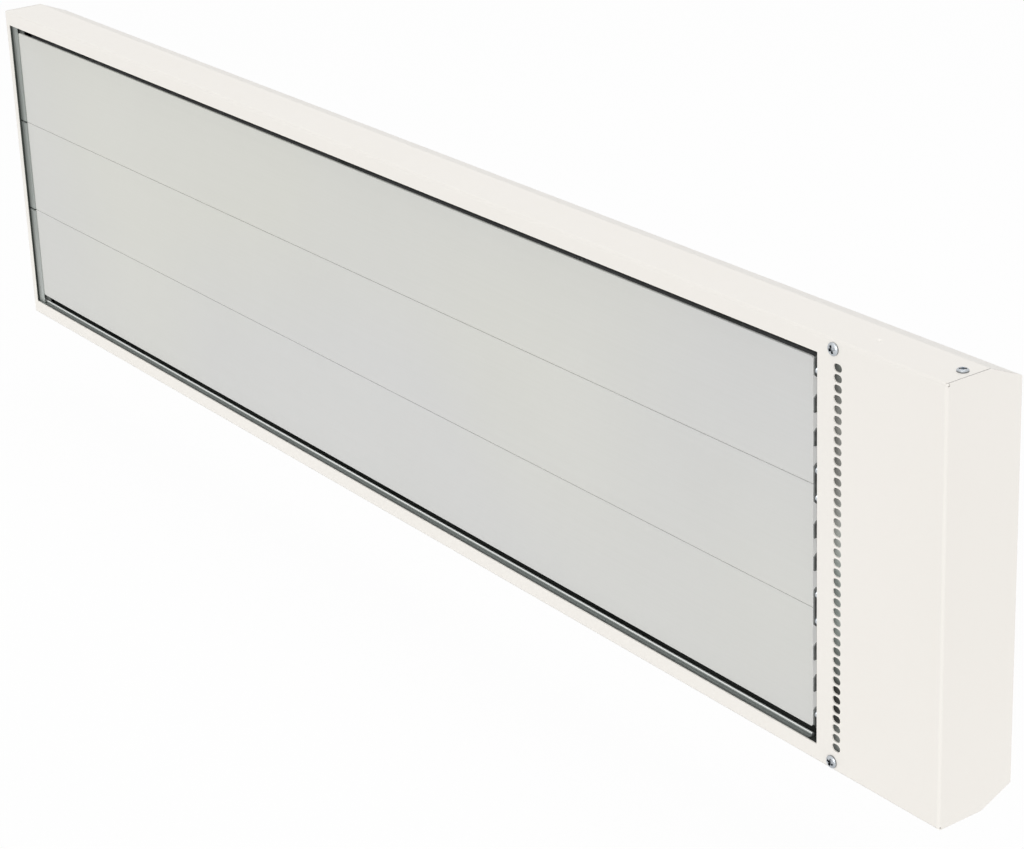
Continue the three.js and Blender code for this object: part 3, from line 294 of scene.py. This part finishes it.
# ---------------------------------------------------------------- back pan, hangers and bridge
# Zinc-coated steel sheet, sheared and folded: the pan that closes the back, the slotted hanger
# brackets bolted to it, and the bridge under the terminal block. The spangle shows faintly.
galvanised, tree, shader, place = finish("galvanised_sheet")
grains_per_metre, ragged_edges = 140, 0.03
grains = tree.nodes.new("ShaderNodeTexVoronoi")
grains.inputs["Scale"].default_value = grains_per_metre
ragged = tree.nodes.new("ShaderNodeMix")
ragged.data_type = "VECTOR"
ragged.inputs["Factor"].default_value = ragged_edges
straight_place, wavy_place, ragged_place = ragged.inputs[4], ragged.inputs[5], ragged.outputs[1]
tree.links.new(place, straight_place)
tree.links.new(noise(tree, place, scale=40, detail=3), wavy_place)
tree.links.new(ragged_place, grains.inputs["Vector"])
grain = tree.nodes.new("ShaderNodeSeparateColor")
tree.links.new(grains.outputs["Color"], grain.inputs[0])
spangle = shade(tree, grain.outputs[0], dark=(0.54, 0.56, 0.57), light=(0.61, 0.63, 0.64))
paint(tree, shader, spangle)
shader.inputs["Metallic"].default_value = 0.9
gloss = between(tree, grain.outputs[1], 0.32, 0.5, from_low=0, from_high=1)
tree.links.new(gloss, shader.inputs["Roughness"])
bump(tree, shader, noise(tree, place, scale=500, detail=2), distance=0.00003)
dress(galvanised, "back_pan", "hanger_bracket_left", "hanger_bracket_right", "terminal_bridge")


# ---------------------------------------------------------------- partition and guard
# Wall of zinc-coated sheet between the hot side and the terminal space, folded into a guard
# close behind the vent slots. Its tone is palest at mid height, and nearly black on a stretch
# near its lower end.
def from_height(tree, place, height=0.0):
    """The distance above or below a height, in metres."""
    return calculated(tree, "ABSOLUTE", calculated(tree, "SUBTRACT", along(tree, place, "Z"), height))


guard_sheet, tree, shader, place = finish("guard_sheet")
# The tone arches from pale at mid height to darker towards the ends, and is nearly black on a stretch
# near the lower end.
pale_height, guard_half = 0.01, 0.15
middle_tone, end_tone, stain_share = 0.38, 0.15, 0.45
dark_stretch_height, dark_stretch_half, dark_stretch_fade = -0.126, 0.02, 0.003
dark_stretch_tone = (0.075, 0.076, 0.07)
stain = noise(tree, place, scale=26, detail=3, roughness=0.6)
off_middle = from_height(tree, place, pale_height)
arch = between(tree, off_middle, middle_tone, end_tone, 0, guard_half)
tone = calculated(tree, "ADD", arch, calculated(tree, "MULTIPLY", stain, stain_share))
grey = shade(tree, tone, dark=(0.17, 0.17, 0.16), light=(0.56, 0.56, 0.53))
green = shade(tree, tone, dark=(0.155, 0.17, 0.158), light=(0.52, 0.57, 0.54))
tint = between(tree, noise(tree, place, scale=9, detail=2), 0, 1, from_low=0.4, from_high=0.6)
off_dark_stretch = from_height(tree, place, dark_stretch_height)
in_dark_stretch = between(tree, off_dark_stretch, 1, 0, dark_stretch_half - dark_stretch_fade, dark_stretch_half + dark_stretch_fade)
sheet = blend(tree, in_dark_stretch, blend(tree, tint, grey, green), dark_stretch_tone)
paint(tree, shader, sheet)
shader.inputs["Metallic"].default_value = 0.25
roughen(tree, shader, stain, smooth=0.5, rough=0.7)
bump(tree, shader, noise(tree, place, scale=500, detail=2), distance=0.00003)
dress(guard_sheet, "partition_plate")


# ---------------------------------------------------------------- clips and carriers
# Three clips guide the lamellas' left ends, and three carriers across the tray hold their ribs,
# so that they can grow in length. All are folded from zinc-coated sheet. Behind the clips' front
# flanges their colour is darkened as painted shade for the deep interior.
rows = ("top", "middle", "bottom")
clip_sheet, tree, shader, place = finish("clip_sheet")
bright_depth, shade_depth = 0.002, 0.0032
clip_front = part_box("left_clip_middle")[0].y
inward = between(tree, along(tree, place, "Y"), 0, 1, clip_front + bright_depth, clip_front + shade_depth)
drawn = noise(tree, place, scale=90, detail=4, roughness=0.6, stretch=(1, 1, 0.04))
bright = shade(tree, drawn, dark=(0.33, 0.36, 0.34), light=(0.55, 0.58, 0.56))
# Painted shade: the parts deeper than the clips' front flanges are toned dark.
deep_painted_shade = shade(tree, drawn, dark=(0.09, 0.096, 0.09), light=(0.125, 0.132, 0.125))
paint(tree, shader, blend(tree, inward, bright, deep_painted_shade))
tree.links.new(between(tree, inward, 0.6, 0, 0, 1), shader.inputs["Metallic"])
roughen(tree, shader, drawn, smooth=0.4, rough=0.55)
dress(clip_sheet, *["left_clip_" + row for row in rows])
dress(clip_sheet, *["lamella_carrier_" + side for side in ("left", "middle", "right")])


# ---------------------------------------------------------------- reflector tray
# Shallow tray of aluminised sheet with folded walls, which lines the hot side of the casing.
# Its colour is painted near black, as shade for the deep gaps round the lamellas.
tray_metal, tree, shader, place = finish("shade_darkened_tray")
stain = noise(tree, place, scale=14, detail=5)
tray_painted_shade = shade(tree, stain, dark=(0.018, 0.022, 0.019), light=(0.05, 0.056, 0.05))
# Painted shade: the tray's near-black tone stands for the shade in the gaps.
paint(tree, shader, tray_painted_shade)
shader.inputs["Metallic"].default_value = 0.3
roughen(tree, shader, stain, smooth=0.5, rough=0.7)
bump(tree, shader, noise(tree, place, scale=300, detail=3), distance=0.00005)
dress(tray_metal, "reflector_tray")


# ---------------------------------------------------------------- window rails
# Two rails of aluminised sheet along the window's long edges. Each keeps a bright rolled hem
# beside the lamellas, and the part behind it is toned darker towards the casing as painted shade.
rail_metal, tree, shader, place = finish("bright_rail")
hem_past_edge, shelf_from_edge = 0.0008, 0.0014
shelf_shade = (0.3, 0.32, 0.31)
rail_low, rail_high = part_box("window_rail_top")
fade = (rail_low.z + hem_past_edge, rail_high.z - shelf_from_edge)
drawn = noise(tree, place, scale=60, detail=4, roughness=0.6, stretch=(0.05, 8, 8))
hem = shade(tree, drawn, dark=(0.74, 0.77, 0.75), light=(0.9, 0.92, 0.9))
# Painted shade: darker from the hem outwards to the casing.
outward = between(tree, from_height(tree, place), 0, 1, *fade)
paint(tree, shader, blend(tree, outward, hem, shelf_shade))
shader.inputs["Metallic"].default_value = 0.85
roughen(tree, shader, drawn, smooth=0.28, rough=0.42)
dress(rail_metal, "window_rail_top", "window_rail_bottom")


# ---------------------------------------------------------------- reflector foil
# Bright aluminium foil laid behind the heating elements. It is creased by hand, and its long
# margins, seen through the gaps beside the lamellas, are painted near black as shade.
foil_metal, tree, shader, place = finish("reflector_foil")
unshaded_inside, shaded_inside = 0.014, 0.004
margin_shade = (0.03, 0.034, 0.03)
stack_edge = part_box("lamella_top")[1].z
margin = (stack_edge - unshaded_inside, stack_edge - shaded_inside)
creases = noise(tree, place, scale=30, detail=6, roughness=0.65)
foil = shade(tree, creases, dark=(0.62, 0.63, 0.64), light=(0.8, 0.81, 0.82))
# Painted shade: the margins seen through the gaps are dark and less metallic.
in_shaded_margin = between(tree, from_height(tree, place), 0, 1, *margin)
paint(tree, shader, blend(tree, in_shaded_margin, foil, margin_shade))
tree.links.new(between(tree, from_height(tree, place), 1, 0.2, *margin), shader.inputs["Metallic"])
roughen(tree, shader, creases, smooth=0.15, rough=0.3)
bump(tree, shader, creases, distance=0.0006)
dress(foil_metal, "foil_reflector")


# ---------------------------------------------------------------- insulation
# Board of yellowish mineral wool, cut to size and laid in the tray under the foil.
# Its fibres stand up a little at the cut faces.
wool, tree, shader, place = finish("mineral_wool")
fibres = noise(tree, place, scale=350, detail=8, roughness=0.75, stretch=(1, 3, 1))
paint(tree, shader, shade(tree, fibres, dark=(0.36, 0.3, 0.14), light=(0.62, 0.55, 0.32)))
shader.inputs["Roughness"].default_value = 0.95
bump(tree, shader, fibres, distance=0.0008)
dress(wool, "insulation_slab")


# ---------------------------------------------------------------- lamellas
# Three aluminium extrusions side by side, their fronts coated matt light grey. Faint drawing
# lines run along them, and their right ends are sawn bright.
lamella_coat, tree, shader, place = finish("lamella_coat")
sawn = (0.96, 0.96, 0.94)
saw_mark = (0.0002, 0.0001)
lamella_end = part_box("lamella_middle")[1].x
lines = noise(tree, place, scale=90, detail=4, roughness=0.6, stretch=(0.02, 1, 6))
cloud = noise(tree, place, scale=5, detail=3)
tone = calculated(tree, "MULTIPLY", calculated(tree, "ADD", lines, cloud), 0.5)
warm = shade(tree, tone, dark=(0.64, 0.642, 0.595), light=(0.672, 0.673, 0.63))
cool = shade(tree, tone, dark=(0.618, 0.62, 0.605), light=(0.65, 0.652, 0.642))
drift = noise(tree, place, scale=1.7, detail=1)
patches = between(tree, drift, 0, 1, from_low=0.42, from_high=0.58)
coat = blend(tree, patches, warm, cool)
sawn_place = [lamella_end - distance for distance in saw_mark]
end_face = between(tree, along(tree, place, "X"), 0, 1, *sawn_place)
paint(tree, shader, blend(tree, end_face, coat, sawn))
roughen(tree, shader, lines, smooth=0.5, rough=0.62)
bump(tree, shader, lines, distance=0.00003)
dress(lamella_coat, *["lamella_" + row for row in rows])


# ---------------------------------------------------------------- heating elements
# Hairpins of heating rod in the lamellas' channels. The heat-resistant sheath is drawn over
# the resistance wire and its filling, bent, and annealed dark.
sheath, tree, shader, place = finish("annealed_sheath")
tint = noise(tree, place, scale=25, detail=4)
paint(tree, shader, shade(tree, tint, dark=(0.09, 0.085, 0.075), light=(0.2, 0.185, 0.165)))
shader.inputs["Metallic"].default_value = 0.9
roughen(tree, shader, tint, smooth=0.4, rough=0.6)
dress(sheath, *["heating_element_" + row for row in rows])


# ---------------------------------------------------------------- insulators and terminal block
# White ceramic, pressed and fired: the insulators that carry the elements' ends through the
# partition, and the five-pole block that the wires are clamped in.
ceramic, tree, shader, place = finish("fired_ceramic")
speckle = noise(tree, place, scale=400, detail=3)
paint(tree, shader, shade(tree, speckle, dark=(0.74, 0.71, 0.64), light=(0.8, 0.77, 0.71)))
roughen(tree, shader, speckle, smooth=0.35, rough=0.5)
dress(ceramic, "terminal_block", *["element_insulator_" + row for row in rows])


# ---------------------------------------------------------------- channel plugs and end brackets
# Dark pressed steel: a plug in the end of each element's channel, and the small plates that tie
# the lamellas' right ends together.
def pressed_steel(name, dark, light):
    """Half-shiny steel with a fine scale, between two tones."""
    material, tree, shader, place = finish(name)
    mill_scale = noise(tree, place, scale=220, detail=4)
    paint(tree, shader, shade(tree, mill_scale, dark, light))
    shader.inputs["Metallic"].default_value = 0.4
    roughen(tree, shader, mill_scale, smooth=0.35, rough=0.55)
    bump(tree, shader, mill_scale, distance=0.00004)
    return material


sides = ("upper", "lower")
plug_steel = pressed_steel("plug_steel", (0.15, 0.157, 0.153), (0.23, 0.237, 0.23))
dress(plug_steel, *["channel_plug_" + row + "_" + side for row in rows for side in sides])
bracket_steel = pressed_steel("bracket_steel", (0.13, 0.135, 0.131), (0.2, 0.207, 0.2))
dress(bracket_steel, "end_bracket_top", "end_bracket_bottom")
dress(bracket_steel, "seam_bracket_upper", "seam_bracket_lower")


# ---------------------------------------------------------------- screws and bolts
# Zinc-plated steel: the pan-head screws of the casing and of the end brackets, each with a
# cross recess darkened as painted shade, and the hexagon bolts of the hangers.
zinc, tree, shader, place = finish("zinc_plating")
bracket_screws = 6
recess_reach, recess_shade = 0.0025, (0.06, 0.066, 0.075)
plating = noise(tree, place, scale=160, detail=4)
zinc_tone = shade(tree, plating, dark=(0.4, 0.425, 0.45), light=(0.6, 0.63, 0.66))
# Painted shade: darker in the cross recesses and round the heads.
zinc_tone = blend(tree, hollows(tree, recess_reach, low=0.45, high=0.85), recess_shade, zinc_tone)
paint(tree, shader, zinc_tone)
shader.inputs["Metallic"].default_value = 1
roughen(tree, shader, plating, smooth=0.25, rough=0.42)
dress(zinc, *["bracket_screw_%d" % (i + 1) for i in range(bracket_screws)])
dress(zinc, "front_screw_top", "front_screw_bottom", "side_screw_top", "side_screw_bottom")
dress(zinc, *["hanger_bolt_" + end + "_" + side for end in ("left", "right") for side in sides])


# ---------------------------------------------------------------- earth stud and nut
# Brass turned from the bar. The stud stands in the terminal space, and its nut holds the ring
# lug of the earth wire.
brass, tree, shader, place = finish("turned_brass")
turning = noise(tree, place, scale=500, detail=3)
paint(tree, shader, shade(tree, turning, dark=(0.5, 0.35, 0.12), light=(0.66, 0.48, 0.19)))
shader.inputs["Metallic"].default_value = 1
roughen(tree, shader, turning, smooth=0.25, rough=0.4)
dress(brass, "earth_stud", "earth_nut")


# ---------------------------------------------------------------- cable gland
# Black polyamide, moulded with a fine grain: the gland with its domed cap outside the back pan,
# and the locknut that holds it from inside.
polyamide, tree, shader, place = finish("moulded_polyamide")
grain = noise(tree, place, scale=700, detail=3)
paint(tree, shader, shade(tree, grain, dark=(0.018, 0.018, 0.02), light=(0.032, 0.032, 0.034)))
roughen(tree, shader, grain, smooth=0.5, rough=0.65)
bump(tree, shader, grain, distance=0.00005)
dress(polyamide, "cable_gland", "gland_locknut")


# ---------------------------------------------------------------- wires
# Copper strands in silicone insulation: a black wire to each element, the blue neutral wire and
# the green earth wire, crimped at one end and clamped in a pole of the block at the other.
def silicone(name, dark, light):
    """Insulation of one colour, a little dusty, between two tones."""
    material, tree, shader, place = finish(name)
    dust = noise(tree, place, scale=180, detail=4)
    paint(tree, shader, shade(tree, dust, dark, light))
    roughen(tree, shader, dust, smooth=0.45, rough=0.6)
    return material


black_wire = silicone("black_silicone", (0.012, 0.012, 0.013), (0.024, 0.024, 0.025))
dress(black_wire, *["line_wire_" + row for row in rows])
dress(silicone("blue_silicone", (0.02, 0.08, 0.32), (0.035, 0.12, 0.42)), "neutral_wire")
dress(silicone("green_silicone", (0.12, 0.3, 0.03), (0.2, 0.42, 0.05)), "earth_wire")


# ---------------------------------------------------------------- block screws
# Brass clamping screws in the wells of the terminal block, two to a pole. Each is turned with a
# domed head and milled with a slot, and screwed down on the wire's end.
def turned(rings, facets, hollow):
    """A shape turned about Y from (radius, place along Y) rings, its ends closed unless hollow."""
    shape = bmesh.new()
    angles = [2 * math.pi * i / facets for i in range(facets)]
    circles = []
    for radius, distance in rings:
        points = [(radius * math.cos(a), distance, radius * math.sin(a)) for a in angles]
        circles.append([shape.verts.new(point) for point in points])
    pairs = list(zip(circles, circles[1:]))
    if hollow:
        pairs.append((circles[-1], circles[0]))
    else:
        shape.faces.new(circles[0])
        shape.faces.new(circles[-1])
    for near, far in pairs:
        for i in range(facets):
            j = (i + 1) % facets
            shape.faces.new((near[i], near[j], far[j], far[i]))
    bmesh.ops.recalc_face_normals(shape, faces=shape.faces)
    return shape


def plain_piece(name, shape):
    """A shape as a new piece at the origin."""
    mesh = bpy.data.meshes.new(name)
    shape.to_mesh(mesh)
    shape.free()
    piece = bpy.data.objects.new(name, mesh)
    scene.collection.objects.link(piece)
    return piece


head_radius, top_radius, head_edge = 0.0027, 0.0018, 0.0003
seat, shoulder, crown, top = -0.0002, -0.0022, -0.0027, -0.003
slot_half, slot_depth = 0.0004, 0.0011
head_rings = (
    (head_radius - head_edge, seat),
    (head_radius, seat - head_edge),
    (head_radius, shoulder),
    (head_radius - head_edge, crown),
    (top_radius, top),
)
shape = turned(head_rings, facets=24, hollow=False)
for cut in (-slot_half, slot_half):
    everything = shape.verts[:] + shape.edges[:] + shape.faces[:]
    bmesh.ops.bisect_plane(shape, geom=everything, plane_co=(cut, 0, 0), plane_no=(1, 0, 0))
centres = {face: face.calc_center_median() for face in shape.faces}
on_top = top + 0.000001
slot = [face for face, centre in centres.items() if centre.y < on_top and abs(centre.x) < slot_half]
sunk = bmesh.ops.extrude_face_region(shape, geom=slot)
bmesh.ops.delete(shape, geom=slot, context="FACES_ONLY")
slot_floor = [item for item in sunk["geom"] if isinstance(item, bmesh.types.BMVert)]
bmesh.ops.translate(shape, verts=slot_floor, vec=(0, slot_depth, 0))
bmesh.ops.recalc_face_normals(shape, faces=shape.faces)
block_screws = plain_piece("block_screws", shape)

screw_rows = bpy.data.node_groups.new("screw_rows", "GeometryNodeTree")
sockets = {}
for name, kind in (
    ("Screw", "NodeSocketGeometry"),
    ("Centre", "NodeSocketVector"),
    ("Poles", "NodeSocketInt"),
    ("Row Length", "NodeSocketFloat"),
    ("Row Distance", "NodeSocketFloat"),
    ("Finish", "NodeSocketMaterial"),
):
    sockets[name] = screw_rows.interface.new_socket(name, in_out="INPUT", socket_type=kind)
screw_rows.interface.new_socket("Screws", in_out="OUTPUT", socket_type="NodeSocketGeometry")
given = screw_rows.nodes.new("NodeGroupInput")
grid = screw_rows.nodes.new("GeometryNodeMeshGrid")
grid.inputs["Vertices X"].default_value = 2
upright = screw_rows.nodes.new("GeometryNodeTransform")
upright.inputs["Rotation"].default_value = (math.pi / 2, 0, 0)
repeat = screw_rows.nodes.new("GeometryNodeInstanceOnPoints")
realize = screw_rows.nodes.new("GeometryNodeRealizeInstances")
coated = screw_rows.nodes.new("GeometryNodeSetMaterial")
result = screw_rows.nodes.new("NodeGroupOutput")
for source, target in (
    (given.outputs["Poles"], grid.inputs["Vertices Y"]),
    (given.outputs["Row Length"], grid.inputs["Size Y"]),
    (given.outputs["Row Distance"], grid.inputs["Size X"]),
    (grid.outputs["Mesh"], upright.inputs["Geometry"]),
    (given.outputs["Centre"], upright.inputs["Translation"]),
    (upright.outputs["Geometry"], repeat.inputs["Points"]),
    (given.outputs["Screw"], repeat.inputs["Instance"]),
    (repeat.outputs["Instances"], realize.inputs["Geometry"]),
    (realize.outputs["Geometry"], coated.inputs["Geometry"]),
    (given.outputs["Finish"], coated.inputs["Material"]),
    (coated.outputs["Geometry"], result.inputs["Screws"]),
):
    screw_rows.links.new(source, target)

rib_rise, well_depth, pole_pitch, poles = 0.004, 0.007, 0.016, 5
block_low, block_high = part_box("terminal_block")
block_middle = (block_low + block_high) / 2
well_floor = block_low.y + rib_rise + well_depth
modifier = block_screws.modifiers.new("rows", "NODES")
modifier.node_group = screw_rows
for name, value in (
    ("Centre", (block_middle.x, well_floor, block_middle.z)),
    ("Poles", poles),
    ("Row Length", (poles - 1) * pole_pitch),
    ("Row Distance", (block_high.x - block_low.x) / 2),
    ("Finish", brass),
):
    modifier[sockets[name].identifier] = value
placed = block_screws.evaluated_get(bpy.context.evaluated_depsgraph_get())
screw_mesh = bpy.data.meshes.new_from_object(placed)
block_screws.modifiers.remove(modifier)
block_screws.data = screw_mesh
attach(block_screws, "chassis")


# ---------------------------------------------------------------- gland seal
# Moulded rubber ring in the gland's mouth. The domed cap squeezes it round the supply cable.
# Its two front edges are chamfered.
rubber, tree, shader, place = finish("seal_rubber")
bloom = noise(tree, place, scale=300, detail=4)
paint(tree, shader, shade(tree, bloom, dark=(0.035, 0.035, 0.036), light=(0.06, 0.06, 0.061)))
roughen(tree, shader, bloom, smooth=0.6, rough=0.8)
seal_bore, seal_radius, seal_back, seal_front, chamfer = 0.0038, 0.0063, -0.007, -0.0015, 0.0005
seal_rings = (
    (seal_bore, seal_back),
    (seal_radius, seal_back),
    (seal_radius, seal_front - chamfer),
    (seal_radius - chamfer, seal_front),
    (seal_bore + chamfer, seal_front),
    (seal_bore, seal_front - chamfer),
)
gland_low, gland_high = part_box("cable_gland")
gland_middle = (gland_low + gland_high) / 2
mouth = (gland_middle.x, gland_high.y, gland_middle.z)
shape = turned(seal_rings, facets=40, hollow=True)
bmesh.ops.translate(shape, verts=shape.verts, vec=mouth)
gland_seal = plain_piece("gland_seal", shape)
gland_seal.data.materials.append(rubber)
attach(gland_seal, "chassis")
